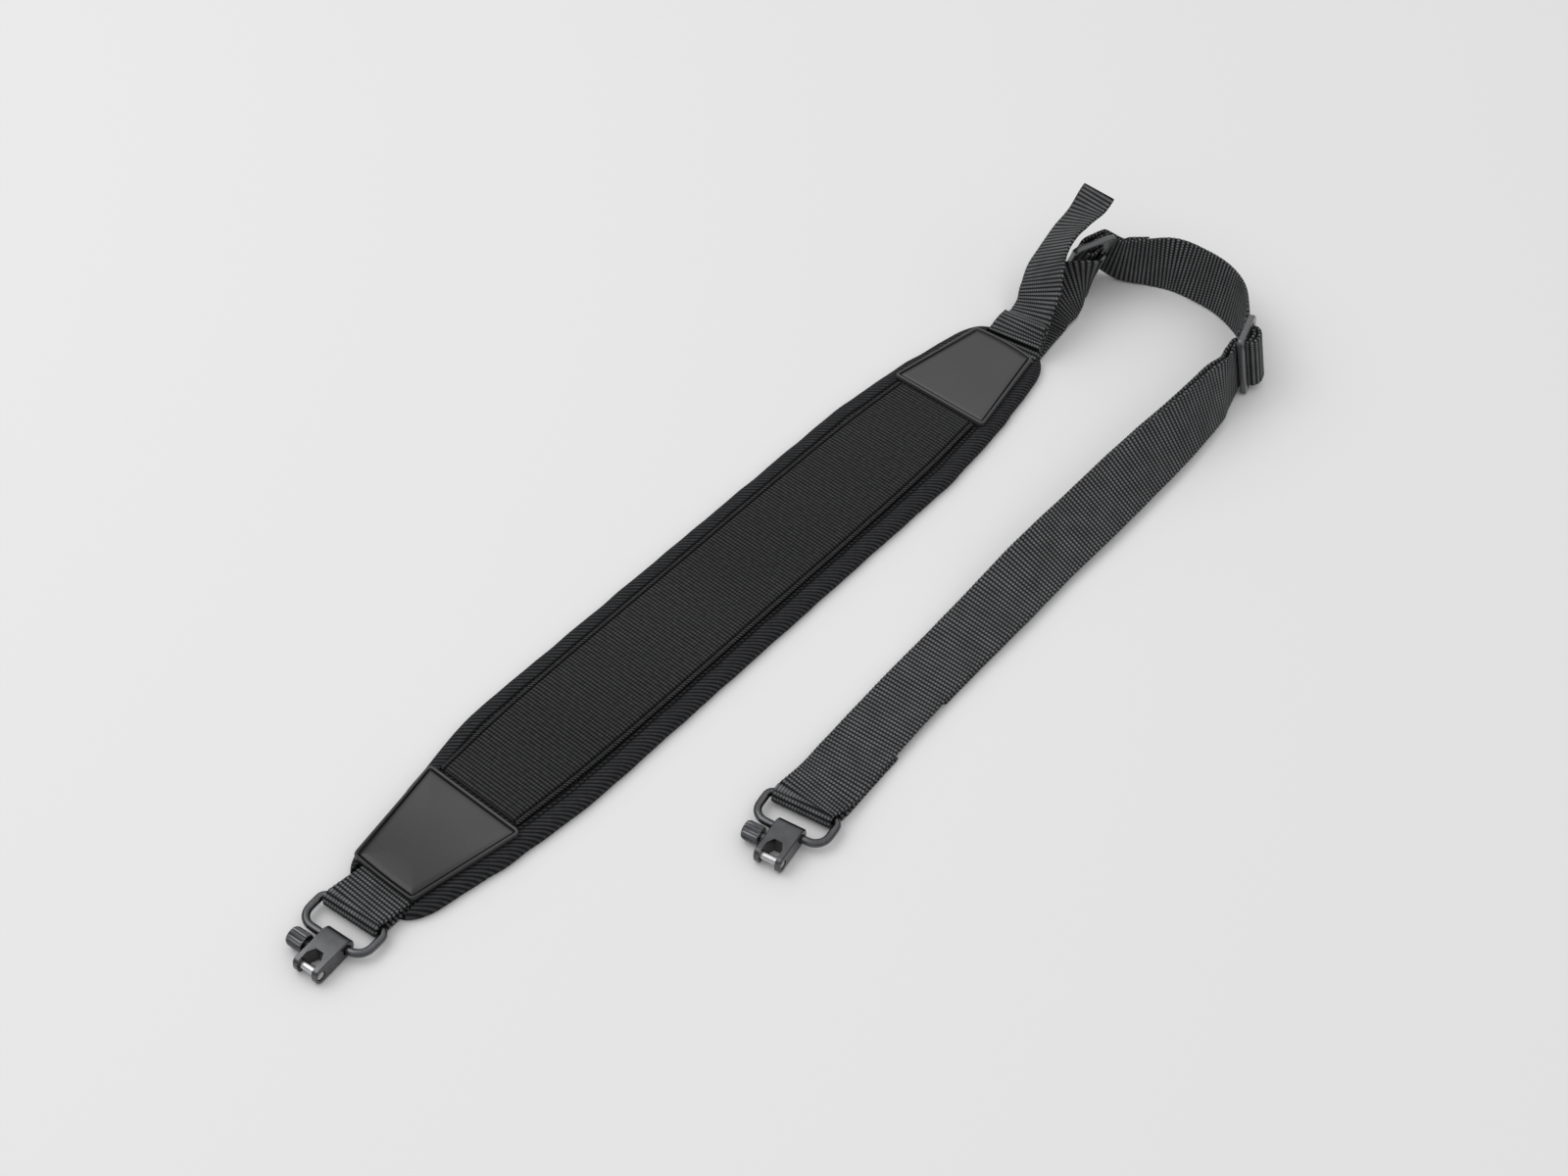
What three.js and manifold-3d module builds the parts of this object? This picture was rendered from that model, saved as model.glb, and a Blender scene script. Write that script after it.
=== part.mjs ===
// Padded shoulder carrying sling, lying on a level surface.
// Millimetres, +Z up, +X along the pad towards the rear end, +Y to the pad's left.
import * as THREE from 'three'
import { mergeVertices } from 'three/addons/utils/BufferGeometryUtils.js'
import Module from 'manifold-3d'

const wasm = await Module()
wasm.setup()

// Driving sizes
const WEB_W = 25
const WEB_T = 1.5
const GAP = 0.35
const FOLD_W = 24.2 / 25
const PAD_HALF_L = 185
const PAD_HALF_W = 30.5
const PAD_T = 5.3
const PANEL_HALF_W = 22.4
const PANEL_T = 1.6
const PATCH_NEAR = 133.4
const PANEL_HALF_L = PATCH_NEAR - 1.6
const PATCH_FAR = 179
const PATCH_NEAR_W = 46
const PATCH_FAR_W = 30
const PATCH_T = 1.4
const PATCH_R = 4
const RIM_W = 2.4
const RIM_H = 0.7
const FRONT_TUCK = 3.6
const NOTCH_L = 19
const NOTCH_FLOOR = 0.6
const WIRE_D = 3.2
const LOOP_W = 28.8
const LOOP_L = 13
const LOOP_R = [5.8, 2.8]
const AXIS_Z = 4
const BLOCK_W = 11
const BLOCK_L = 15.5
const BLOCK_R = 3.6
const EAR_T = 2.2
const EAR_L = 7
const PIN_D = 3
const KNOB_D = 7.4
const KNOB_L = 7.2
const KNOB_STEM = 3.4
const KNOB_AHEAD = 6.3
const KNOB_TRAVEL = 1.8
const KNOB_RIBS = 20
const SLIDER_L = 31
const SLIDER_W = 18
const SLIDER_T = 2.8
const SLIDER_BAR = 3.2
const SLIDER_SLOT_L = 27

// Where the bought parts stand
const TAB_Y = -1.9
const SWIVELS = [
  { name: 'front', x: -(PAD_HALF_L + 8.6), y: TAB_Y, heading: 185, slide: -2.6 },
  { name: 'long', x: -58.2, y: -90.3, heading: 190, slide: -0.9 }
]
const BUCKLE = { at: [233.5, 0.5, 15.3], heading: -20, lean: [-0.12, -0.36, 0.92] }
const LADDER = { at: [230, -86.2, 16.1], heading: 16, lean: [-0.136, 0.125, 0.983] }

// Pad outline: share of the half length, share of the half width
const PAD_OUTLINE = [
  [0, 1], [0.3, 1], [0.57, 0.997], [0.62, 0.967], [0.676, 0.941], [0.73, 0.902], [0.784, 0.869],
  [0.822, 0.82], [0.865, 0.775], [0.908, 0.731], [0.946, 0.68], [0.973, 0.61], [0.989, 0.525], [1, 0.41]
]
// Pad section: inset from the edge in mm, share of the thickness
const PAD_SECTION = [[1.3, 0], [0.2, 0.2], [0, 0.45], [0.5, 0.75], [2, 0.93], [7, 1]]

// Strap routes, one row per fold or bend: x, y, z of the middle, roll about the run in degrees
const LONG_ROUTE = [
  [-46, -90.6, 5, 4], [-30, -89, 3.9, 2], [-12, -87.4, 3.1, 0], [13, -86.1, 3.15, 0], [30, -85.7, 3.4, 0],
  [60, -85.7, 5.2, 7], [90, -86.1, 8, 24], [120, -86.7, 9.2, 28], [150, -87.6, 11.2, 40],
  [180, -89.4, 13.8, 58], [205, -89.2, 14.6, 70]
]
const LONG_END = [[-19, -88.6, 0.95, 0], [-36, -89.6, 0.95, 0], [-50, -90.6, 0.95, 0]]
const ARC_ROUTE = [
  [246.5, -9.5, 13.6, 100], [252.7, -18.8, 13.3, 89], [259.1, -29.9, 13.6, 77], [261.1, -42.6, 13, 77],
  [260, -53.5, 13.1, 79], [255.8, -63.8, 13.3, 84], [248.6, -72.8, 14.2, 92]
]
const STUB_DROP = 0.4
const UNDER_START = 13
const KEEPER_X = [183, 193.5]
const TAIL_ROUTE = [
  [171, -2.2, 4, 0], [181, -2, 4.2, -1], [187, -1.4, 6, -8], [192, -1.2, 9.4, -23],
  [196.8, -0.8, 12.6, -37], [202, 0.5, 16.2, -45], [207.5, 3.1, 20.4, -48], [214.9, 6.2, 24.8, -47],
  [223.7, 7.5, 28.5, -45], [232.6, 7.6, 31.5, -39], [241.4, 6.4, 35.4, -35.3], [248.8, 5.5, 41.6, -34.7]
]
const REAR_ROUTE = [
  [168, -2.2, 1.7, 0], [184, -1.8, 1.7, 0], [196, -0.2, 1.4, 0], [204, 0.8, 2, 5], [210.5, 0.9, 5.6, 24],
  [217, -1.4, 10.2, 54], [224, -5.2, 12.9, 86], [230.5, -7.6, 13.6, 110]
]

// Ways through the two sliders: along the plate, out of the plate, both in mm from its centre bar
const REAR_THREAD = [
  [2.9, 5.3], [4.3, 2.8], [4.65, 0.9]
]
const ARC_STUB_THREAD = [
  [10, -5.1], [7.4, -5.1], [4.6, -4.9], [0, -4.6], [-2.2, -3.6], [-2.8, -1.5], [-2.75, 0.6], [-2.35, 2.45], [0, 3.05],
  [2.35, 2.45], [2.75, 0.6], [3.1, -1.5], [4.7, -2.85], [7.4, -3.05], [10, -3.1]
]
const LONG_THREAD = [
  [-16, -2.9], [-10, -2.75], [-7.4, -2.75], [-5.1, -2.4], [-4.6, -0.2], [-4.5, 3], [-2.6, 4.9], [0, 5.3],
  [2.6, 4.9], [4.5, 3], [4.6, -0.2], [5.1, -2.4], [7.4, -2.75], [10.5, -2.75]
]
const UNDER_THREAD = [
  [-16, -6], [-10, -5.3], [-7.4, -4.75], [-5.2, -4.5], [-3.4, -3.3], [-2.75, -1.2], [-2.75, 0.7], [-2.35, 2.45],
  [0, 2.95], [2.35, 2.45], [2.75, 0.7], [2.75, -1.2], [2.2, -2.8], [0, -3.2]
]

const group = new THREE.Group()
group.name = 'padded_shoulder_sling'
const sling = new THREE.Group()
group.add(sling)

// Materials
function cloth(color, roughness) {
  return new THREE.MeshStandardMaterial({ color, roughness, metalness: 0 })
}

function metal(color, roughness) {
  return new THREE.MeshStandardMaterial({ color, roughness, metalness: 1 })
}

const twillCloth = () => cloth(0x26272a, 0.95)
const ribbedCloth = () => cloth(0x1b1c1e, 0.95)
const webbing = () => cloth(0x34353a, 0.9)
const softLeather = () => cloth(0x4a4c50, 0.6)
const glossyPlastic = () => cloth(0x17181a, 0.25)
const darkSteel = () => metal(0x5a5c60, 0.4)
const brightSteel = () => metal(0xb9bbbe, 0.3)

function add(parent, name, geometry, material) {
  const mesh = new THREE.Mesh(geometry, material)
  mesh.name = name
  parent.add(mesh)
  return mesh
}

// Solids joined and cut
function toManifold(geometry) {
  const bare = geometry.clone()
  bare.deleteAttribute('normal')
  bare.deleteAttribute('uv')
  const merged = mergeVertices(bare, 1e-4)
  return new wasm.Manifold(new wasm.Mesh({
    numProp: 3,
    vertProperties: new Float32Array(merged.attributes.position.array),
    triVerts: new Uint32Array(merged.index.array)
  }))
}

function fromManifold(solid) {
  const mesh = solid.getMesh()
  const geometry = new THREE.BufferGeometry()
  geometry.setAttribute('position', new THREE.BufferAttribute(new Float32Array(mesh.vertProperties), 3))
  geometry.setIndex(new THREE.BufferAttribute(new Uint32Array(mesh.triVerts), 1))
  const flat = geometry.toNonIndexed()
  flat.computeVertexNormals()
  return flat
}

// A closed skin over rings of points; the ends are capped unless the rings close on themselves.
// The sides named as crossed are split along their other diagonal, so layers of a twisted strip stay parallel.
function skin(rings, closed, crossed = []) {
  const count = rings[0].length
  const points = rings.flat()
  const faces = []
  const last = closed ? rings.length : rings.length - 1
  for (let i = 0; i < last; i++) {
    const a = i * count
    const b = ((i + 1) % rings.length) * count
    for (let k = 0; k < count; k++) {
      const m = (k + 1) % count
      if (crossed.includes(k)) faces.push(a + k, b + k, a + m, b + k, b + m, a + m)
      else faces.push(a + k, b + k, b + m, a + k, b + m, a + m)
    }
  }
  if (!closed) {
    const end = (rings.length - 1) * count
    for (let k = 1; k < count - 1; k++) {
      faces.push(0, k, k + 1)
      faces.push(end, end + k + 1, end + k)
    }
  }
  let volume = 0
  for (let i = 0; i < faces.length; i += 3) {
    const [a, b, c] = [points[faces[i]], points[faces[i + 1]], points[faces[i + 2]]]
    volume += a.dot(b.clone().cross(c))
  }
  if (volume < 0) faces.reverse()
  const geometry = new THREE.BufferGeometry()
  geometry.setAttribute('position', new THREE.Float32BufferAttribute(points.flatMap(p => [p.x, p.y, p.z]), 3))
  geometry.setIndex(faces)
  const flat = geometry.toNonIndexed()
  flat.computeVertexNormals()
  return flat
}

// Webbing stations: the middle point and the direction of the left edge
function routeStations(rows) {
  return rows.map((row, i) => {
    const before = rows[Math.max(0, i - 1)]
    const after = rows[Math.min(rows.length - 1, i + 1)]
    const run = new THREE.Vector3(after[0] - before[0], after[1] - before[1], 0).normalize()
    const left = new THREE.Vector3(-run.y, run.x, 0)
    const roll = THREE.MathUtils.degToRad(row[3])
    const edge = left.multiplyScalar(Math.cos(roll))
    edge.z += Math.sin(roll)
    return { point: new THREE.Vector3(row[0], row[1], row[2]), edge, wide: 1 }
  })
}

function plateFrame(plate) {
  const bar = new THREE.Vector3(...plate.lean).normalize()
  const turn = THREE.MathUtils.degToRad(plate.heading)
  const along = new THREE.Vector3(Math.cos(turn), Math.sin(turn), 0)
  along.addScaledVector(bar, -along.dot(bar)).normalize()
  const out = along.clone().cross(bar)
  return { at: new THREE.Vector3(...plate.at), bar, along, out }
}

function threadStations(plate, rows) {
  const frame = plateFrame(plate)
  return rows.map(([e, n]) => ({
    point: frame.at.clone().addScaledVector(frame.along, e).addScaledVector(frame.out, n)
      .addScaledVector(frame.bar, -0.3),
    edge: frame.bar.clone(),
    wide: 1
  }))
}

// The fold of a strap round a swivel's rear bar, from the layer below to the layer on top
function foldStations(swivel) {
  const turn = THREE.MathUtils.degToRad(swivel.heading)
  const ahead = new THREE.Vector3(Math.cos(turn), Math.sin(turn), 0)
  const edge = new THREE.Vector3(ahead.y, -ahead.x, 0)
  const reach = WIRE_D / 2 + 0.55 + WEB_T / 2
  const stations = []
  for (let angle = -90; angle <= 90; angle += 22.5) {
    const turned = THREE.MathUtils.degToRad(angle)
    const point = new THREE.Vector3(swivel.x, swivel.y, AXIS_Z + reach * Math.sin(turned))
    point.addScaledVector(ahead, reach * Math.cos(turned))
    stations.push({ point, edge: edge.clone(), wide: FOLD_W })
  }
  return stations
}

// The run of a strip through its stations: middle, edge direction, face direction and width share
function flow(stations) {
  const points = stations.map(s => s.point)
  const middle = new THREE.CatmullRomCurve3(points, false, 'centripetal')
  const sideways = new THREE.CatmullRomCurve3(stations.map(s => s.edge), false, 'catmullrom', 0.5)
  const last = stations.length - 1
  const run = []
  for (let i = 0; i <= last; i++) {
    const next = Math.min(i + 1, last)
    const length = points[i].distanceTo(points[next])
    const steps = i === last ? 1 : Math.max(1, Math.min(6, Math.round(length / 2.6)))
    for (let k = 0; k < steps; k++) {
      const share = k / steps
      const u = (i + share) / last
      const ahead = middle.getTangent(u)
      const edge = sideways.getPoint(u)
      edge.addScaledVector(ahead, -edge.dot(ahead)).normalize()
      const wide = THREE.MathUtils.lerp(stations[i].wide, stations[next].wide, share)
      run.push({ point: middle.getPoint(u), edge, face: ahead.cross(edge).normalize(), wide })
    }
  }
  return run
}

// A second layer on one side of a run, at a distance given by a function of the place
function layer(run, distance) {
  return run.map(s => ({ ...s, point: s.point.clone().addScaledVector(s.face, distance(s.point)) }))
}

function strip(run) {
  const rings = run.map(({ point, edge, face, wide }) => {
    const side = edge.clone().multiplyScalar(WEB_W / 2 * wide)
    const up = face.clone().multiplyScalar(WEB_T / 2)
    return [
      point.clone().add(side).add(up),
      point.clone().sub(side).add(up),
      point.clone().sub(side).sub(up),
      point.clone().add(side).sub(up)
    ]
  })
  return skin(rings, false, [2])
}

// Pad
// The left side is drawn in towards the front end
function padRing(x, half) {
  const side = PAD_SECTION.map(([inset, rise]) => [half - inset, PAD_T * rise])
  const drawn = 1 - FRONT_TUCK * THREE.MathUtils.smoothstep(-x, 105, 155) / half
  const left = side.map(([y, z]) => new THREE.Vector3(x, y * drawn, z))
  const right = side.map(([y, z]) => new THREE.Vector3(x, -y, z)).reverse()
  return [...left, ...right]
}

function padShell() {
  const front = PAD_OUTLINE.slice(1).reverse().map(([l, w]) => padRing(-l * PAD_HALF_L, w * PAD_HALF_W))
  const rear = PAD_OUTLINE.map(([l, w]) => padRing(l * PAD_HALF_L, w * PAD_HALF_W))
  return skin([...front, ...rear], false)
}

function notch(direction, y) {
  const box = new THREE.BoxGeometry(NOTCH_L + 6, WEB_W + 7 * GAP, PAD_T)
  const x = direction * (PAD_HALF_L - NOTCH_L + (NOTCH_L + 6) / 2)
  box.translate(x, y, NOTCH_FLOOR + PAD_T / 2)
  return toManifold(box)
}

function padBody() {
  const body = toManifold(padShell()).subtract(notch(-1, TAB_Y)).subtract(notch(1, TAB_Y))
  return fromManifold(body)
}

function padPanel() {
  const half = PANEL_HALF_W
  const rows = [[-1, 0.88], [-0.75, 0.97], [-0.4, 1], [0, 1], [0.4, 1], [0.75, 0.97], [1, 0.88]]
  const rings = rows.map(([share, width]) => {
    const x = share * PANEL_HALF_L
    const w = half * width
    const low = PAD_T + GAP
    const corners = [[w, 0], [w, 0.4], [w - 0.9, 1], [0.9 - w, 1], [-w, 0.4], [-w, 0]]
    return corners.map(([y, rise]) => new THREE.Vector3(x, y, low + PANEL_T * rise))
  })
  return skin(rings, false)
}

function patchOutline(direction, inset, bow) {
  const near = PATCH_NEAR + inset
  const far = PATCH_FAR - inset
  const nearHalf = PATCH_NEAR_W / 2 - inset
  const farHalf = PATCH_FAR_W / 2 - inset
  const r = Math.max(0.8, PATCH_R - inset)
  const lean = (nearHalf - farHalf) / (far - near)
  const shape = new THREE.Shape()
  const corners = [[near, -nearHalf], [far, -farHalf], [far, farHalf], [near, nearHalf]]
  corners.forEach(([x, y], i) => {
    const before = corners[(i + 3) % 4]
    const after = corners[(i + 1) % 4]
    const inward = new THREE.Vector2(before[0] - x, before[1] - y).normalize().multiplyScalar(r)
    const onward = new THREE.Vector2(after[0] - x, after[1] - y).normalize().multiplyScalar(r)
    const start = [direction * (x + inward.x), y + inward.y]
    if (i === 0) shape.moveTo(...start)
    else if (i === 2) shape.quadraticCurveTo(direction * (far + bow), 0, ...start)
    else shape.lineTo(...start)
    shape.quadraticCurveTo(direction * x, y, direction * (x + onward.x), y + onward.y)
  })
  shape.closePath()
  return lean > 0 ? shape : null
}

function slab(shape, low, height) {
  const geometry = new THREE.ExtrudeGeometry(shape, { depth: height, bevelEnabled: false, curveSegments: 6 })
  geometry.translate(0, 0, low)
  return geometry
}

function patch(direction, bow) {
  const low = PAD_T + GAP
  const plate = toManifold(slab(patchOutline(direction, 0, bow), low, PATCH_T + RIM_H))
  const dish = toManifold(slab(patchOutline(direction, RIM_W, bow), low + PATCH_T, RIM_H + 1))
  return fromManifold(plate.subtract(dish))
}

// Webbing pieces
function frontTab() {
  const swivel = SWIVELS[0]
  const inner = PAD_HALF_L - NOTCH_L + 1
  const end = PAD_HALF_L
  const top = [[end + 2.5, 6], [end - 4, 4.7], [end - 11, 4.2], [inner, 4.2]]
  const low = [[inner, 1.9], [end - 11, 1.9], [end - 4, 1.9], [end + 2, 1.55]]
  const level = (rows, y) => rows.map(([x, z]) => ({
    point: new THREE.Vector3(-x, y, z), edge: new THREE.Vector3(0, 1, 0), wide: FOLD_W
  }))
  return strip(flow([...level(low, TAB_Y), ...foldStations(swivel), ...level(top, TAB_Y)]))
}

function mainStrap() {
  const arc = routeStations(ARC_ROUTE)
  const stub = layer(flow(arc.slice(0, 2)), () => -1.9).filter((s, i) => i % 2 === 0)
  stub.forEach(station => { station.point.z -= STUB_DROP })
  return strip(flow([
    ...routeStations(LONG_END).map(station => ({ ...station, edge: station.edge.negate() })),
    ...foldStations(SWIVELS[1]),
    ...routeStations(LONG_ROUTE),
    ...threadStations(LADDER, LONG_THREAD),
    ...arc.reverse(),
    ...threadStations(BUCKLE, ARC_STUB_THREAD.slice().reverse()),
    ...stub
  ]))
}

function underStrap() {
  const above = flow(routeStations(LONG_ROUTE.filter(row => row[0] >= UNDER_START)))
  const apart = p => -THREE.MathUtils.mapLinear(Math.max(p.x, 150), 150, 205, WEB_T + 1.6 * GAP, 3.4)
  const back = layer(above, apart).filter((s, i, all) => i % 4 === 0 || i === all.length - 1)
  return strip(flow([...back, ...threadStations(LADDER, UNDER_THREAD)]))
}

function rearTab() {
  return strip(flow([...routeStations(REAR_ROUTE), ...threadStations(BUCKLE, REAR_THREAD)]))
}

function looseTail() {
  return strip(flow(routeStations(TAIL_ROUTE)))
}

function rearKeeper() {
  const above = flow(routeStations(TAIL_ROUTE)).filter(s => s.point.x > KEEPER_X[0] && s.point.x < KEEPER_X[1])
  return strip(layer(above, () => WEB_T + 2 * GAP))
}

// Sliders
function slotCut(centre) {
  const half = (SLIDER_W / 2 - 1.5 * SLIDER_BAR) / 2
  const box = new THREE.BoxGeometry(2 * half, SLIDER_SLOT_L, SLIDER_T + 4)
  box.translate(centre, 0, 0)
  return toManifold(box)
}

function sliderPlate() {
  const w = SLIDER_W / 2 - 0.4
  const l = SLIDER_L / 2 - 0.4
  const r = 2
  const shape = new THREE.Shape()
  shape.moveTo(-w + r, -l)
  shape.lineTo(w - r, -l)
  shape.quadraticCurveTo(w, -l, w, -l + r)
  shape.lineTo(w, l - r)
  shape.quadraticCurveTo(w, l, w - r, l)
  shape.lineTo(-w + r, l)
  shape.quadraticCurveTo(-w, l, -w, l - r)
  shape.lineTo(-w, -l + r)
  shape.quadraticCurveTo(-w, -l, -w + r, -l)
  shape.closePath()
  const slot = (SLIDER_W / 2 - SLIDER_BAR / 2) / 2
  const bevel = 0.4
  const geometry = new THREE.ExtrudeGeometry(shape, {
    depth: SLIDER_T - 2 * bevel, bevelThickness: bevel, bevelSize: bevel, bevelSegments: 2, curveSegments: 5
  })
  geometry.translate(0, 0, -SLIDER_T / 2 + bevel)
  return fromManifold(toManifold(geometry).subtract(slotCut(-slot)).subtract(slotCut(slot)))
}

function placeSlider(name, plate) {
  const frame = plateFrame(plate)
  const mesh = add(sling, name, sliderPlate(), glossyPlastic())
  mesh.position.copy(frame.at)
  mesh.setRotationFromMatrix(new THREE.Matrix4().makeBasis(frame.along, frame.bar, frame.out))
}

// Swivels, each built about the middle of its front bar with +X ahead and +Y to the knob
function wireLoop() {
  const rings = []
  const sides = 12
  const corners = [[1, 1, 0], [-1, 1, 90], [-1, -1, 180], [1, -1, 270]]
  for (const [ahead, aside, start] of corners) {
    const r = LOOP_R[ahead > 0 ? 0 : 1]
    const x = ahead * (LOOP_L / 2 - r)
    const y = aside * (LOOP_W / 2 - r)
    for (let k = 0; k <= 6; k++) {
      const turn = THREE.MathUtils.degToRad(start + k * 15)
      const out = new THREE.Vector3(Math.cos(turn), Math.sin(turn), 0)
      const centre = new THREE.Vector3(x - LOOP_L / 2, y, 0).addScaledVector(out, r)
      const ring = []
      for (let s = 0; s < sides; s++) {
        const angle = s / sides * 2 * Math.PI
        const point = centre.clone().addScaledVector(out, WIRE_D / 2 * Math.cos(angle))
        point.z += WIRE_D / 2 * Math.sin(angle)
        ring.push(point)
      }
      rings.push(ring)
    }
  }
  return skin(rings, true)
}

function rod(diameter, length, sides) {
  return new THREE.CylinderGeometry(diameter / 2, diameter / 2, length, sides)
}

function blockProfile() {
  const shape = new THREE.Shape()
  const r = BLOCK_R
  const tip = 2.6
  shape.absarc(0, 0, r, Math.PI / 2, Math.PI * 1.5, false)
  shape.lineTo(BLOCK_L - tip, -r)
  shape.quadraticCurveTo(BLOCK_L, -r, BLOCK_L, 0)
  shape.quadraticCurveTo(BLOCK_L, r, BLOCK_L - tip, r)
  shape.lineTo(0, r)
  return shape
}

function block() {
  const bevel = 0.4
  const geometry = new THREE.ExtrudeGeometry(blockProfile(), {
    depth: BLOCK_W - 2 * bevel, bevelThickness: bevel, bevelSize: bevel, bevelOffset: -bevel,
    bevelSegments: 1, curveSegments: 8
  })
  geometry.rotateX(Math.PI / 2)
  geometry.translate(0, BLOCK_W / 2 - bevel, 0)
  const ahead = BLOCK_L - EAR_L
  const recess = new THREE.Shape()
  const inner = BLOCK_W / 2 - EAR_T
  recess.moveTo(ahead - 1.5, -inner + 1.6)
  recess.lineTo(ahead + 1.4, -inner)
  recess.lineTo(BLOCK_L + 3, -inner)
  recess.lineTo(BLOCK_L + 3, inner)
  recess.lineTo(ahead + 1.4, inner)
  recess.lineTo(ahead - 1.5, inner - 1.6)
  recess.closePath()
  const space = slab(recess, -BLOCK_R - 2, 2 * BLOCK_R + 4)
  const bore = rod(WIRE_D + 2 * GAP, BLOCK_W + 6, 24)
  const pinHole = rod(PIN_D + 2 * GAP, BLOCK_W + 6, 20)
  pinHole.translate(BLOCK_L - 2.6, 0, 0)
  const stemHole = rod(KNOB_STEM + 2 * GAP, 5, 20)
  stemHole.translate(KNOB_AHEAD, 0.5 - BLOCK_W / 2, 0)
  const body = toManifold(geometry)
    .subtract(toManifold(space))
    .subtract(toManifold(bore))
    .subtract(toManifold(pinHole))
    .subtract(toManifold(stemHole))
  return fromManifold(body)
}

function knob() {
  const rings = []
  const inner = BLOCK_W / 2 + KNOB_TRAVEL
  const stemStart = BLOCK_W / 2 - 0.7
  const stem = KNOB_STEM / KNOB_D
  const profile = [
    [stemStart, stem, 0], [inner, stem, 0], [inner, 0.92, 0], [inner + 0.6, 1, 1],
    [inner + KNOB_L - 1.2, 1, 1], [inner + KNOB_L - 0.5, 0.9, 0], [inner + KNOB_L, 0.6, 0]
  ]
  const sides = 2 * KNOB_RIBS
  for (const [y, share, knurled] of profile) {
    const ring = []
    for (let s = 0; s < sides; s++) {
      const angle = s / sides * 2 * Math.PI
      const radius = KNOB_D / 2 * share - (knurled && s % 2 ? 0.3 : 0)
      ring.push(new THREE.Vector3(radius * Math.cos(angle), y, radius * Math.sin(angle)))
    }
    rings.push(ring)
  }
  return skin(rings, false)
}

function placeSwivel(swivel) {
  const turn = THREE.MathUtils.degToRad(swivel.heading)
  const holder = new THREE.Group()
  holder.position.set(
    swivel.x + LOOP_L * Math.cos(turn), swivel.y + LOOP_L * Math.sin(turn), AXIS_Z
  )
  holder.rotation.z = turn
  sling.add(holder)
  add(holder, swivel.name + '_wire_loop', wireLoop(), darkSteel())
  const shifted = new THREE.Group()
  shifted.position.y = -swivel.slide
  holder.add(shifted)
  add(shifted, swivel.name + '_swivel_block', block(), darkSteel())
  const pin = add(shifted, swivel.name + '_cross_pin', rod(PIN_D, BLOCK_W - 0.6, 16), brightSteel())
  pin.position.x = BLOCK_L - 2.6
  const turned = add(shifted, swivel.name + '_knob', knob(), darkSteel())
  turned.rotation.z = Math.PI
  turned.position.x = KNOB_AHEAD
}

// The sling
add(sling, 'pad_body', padBody(), twillCloth())
add(sling, 'pad_panel', padPanel(), ribbedCloth())
add(sling, 'front_patch', patch(-1, 0.6), softLeather())
add(sling, 'rear_patch', patch(1, 1.6), softLeather())
add(sling, 'front_tab', frontTab(), webbing())
add(sling, 'rear_tab', rearTab(), webbing())
add(sling, 'rear_keeper', rearKeeper(), webbing())
add(sling, 'loose_tail', looseTail(), webbing())
add(sling, 'main_strap', mainStrap(), webbing())
add(sling, 'under_strap', underStrap(), webbing())
placeSlider('rear_slider', BUCKLE)
placeSlider('strap_slider', LADDER)
SWIVELS.forEach(placeSwivel)

// Origin at the middle of the bounding box's underside
group.updateMatrixWorld(true)
const bounds = new THREE.Box3().setFromObject(group, true)
const middle = bounds.getCenter(new THREE.Vector3())
sling.position.set(-middle.x, -middle.y, -bounds.min.z)
group.updateMatrixWorld(true)

export default group
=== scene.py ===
import math

import bmesh
import bpy
from bpy.props import FloatProperty, FloatVectorProperty, PointerProperty
from mathutils import Matrix, Vector


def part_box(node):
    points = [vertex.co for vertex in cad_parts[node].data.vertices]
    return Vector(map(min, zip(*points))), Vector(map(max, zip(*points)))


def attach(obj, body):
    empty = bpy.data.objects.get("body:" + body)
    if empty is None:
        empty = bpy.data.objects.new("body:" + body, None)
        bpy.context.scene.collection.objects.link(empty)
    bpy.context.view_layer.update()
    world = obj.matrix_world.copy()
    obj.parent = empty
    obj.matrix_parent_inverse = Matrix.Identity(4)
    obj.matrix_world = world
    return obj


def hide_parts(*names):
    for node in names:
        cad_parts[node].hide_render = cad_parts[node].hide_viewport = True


bl_info = {
    "name": "Padded shoulder sling",
    "version": (1, 0, 0),
    "blender": (4, 5, 0),
    "location": "3D View > Sidebar > Sling",
    "description": "Dresses a padded webbing shoulder sling that lies on a surface",
    "category": "Object",
}

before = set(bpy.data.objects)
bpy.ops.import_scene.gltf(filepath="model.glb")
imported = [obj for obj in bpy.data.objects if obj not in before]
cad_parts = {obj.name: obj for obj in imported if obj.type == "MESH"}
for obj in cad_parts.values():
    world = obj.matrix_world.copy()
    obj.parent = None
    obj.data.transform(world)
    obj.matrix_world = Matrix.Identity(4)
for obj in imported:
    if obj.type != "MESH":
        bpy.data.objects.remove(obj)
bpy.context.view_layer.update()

MM = 0.001
PAD_LOW, PAD_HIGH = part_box("pad_body")
MIDDLE = Vector(((PAD_LOW.x + PAD_HIGH.x) / 2, (PAD_LOW.y + PAD_HIGH.y) / 2, 0))

# Sizes in millimetres, measured from the middle of the pad's underside
WEB_W, WEB_T = 25, 1.5
GAP = 0.35
FOLD_W = 24.2 / WEB_W
PAD_HALF_L = 185
PAD_HALF_W = 30.5
PAD_T = 5.3
PANEL_HALF_W = 22.4
PANEL_T = 1.6
PATCH_NEAR, PATCH_FAR = 133.4, 179
PANEL_HALF_L = PATCH_NEAR - 1.6
PATCH_NEAR_W, PATCH_FAR_W = 46, 30
PATCH_CORNER, PATCH_CORNER_LEAST = 2.4, 0.6
NOTCH_L, NOTCH_FLOOR, NOTCH_OVER = 19, 0.6, 6
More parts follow.
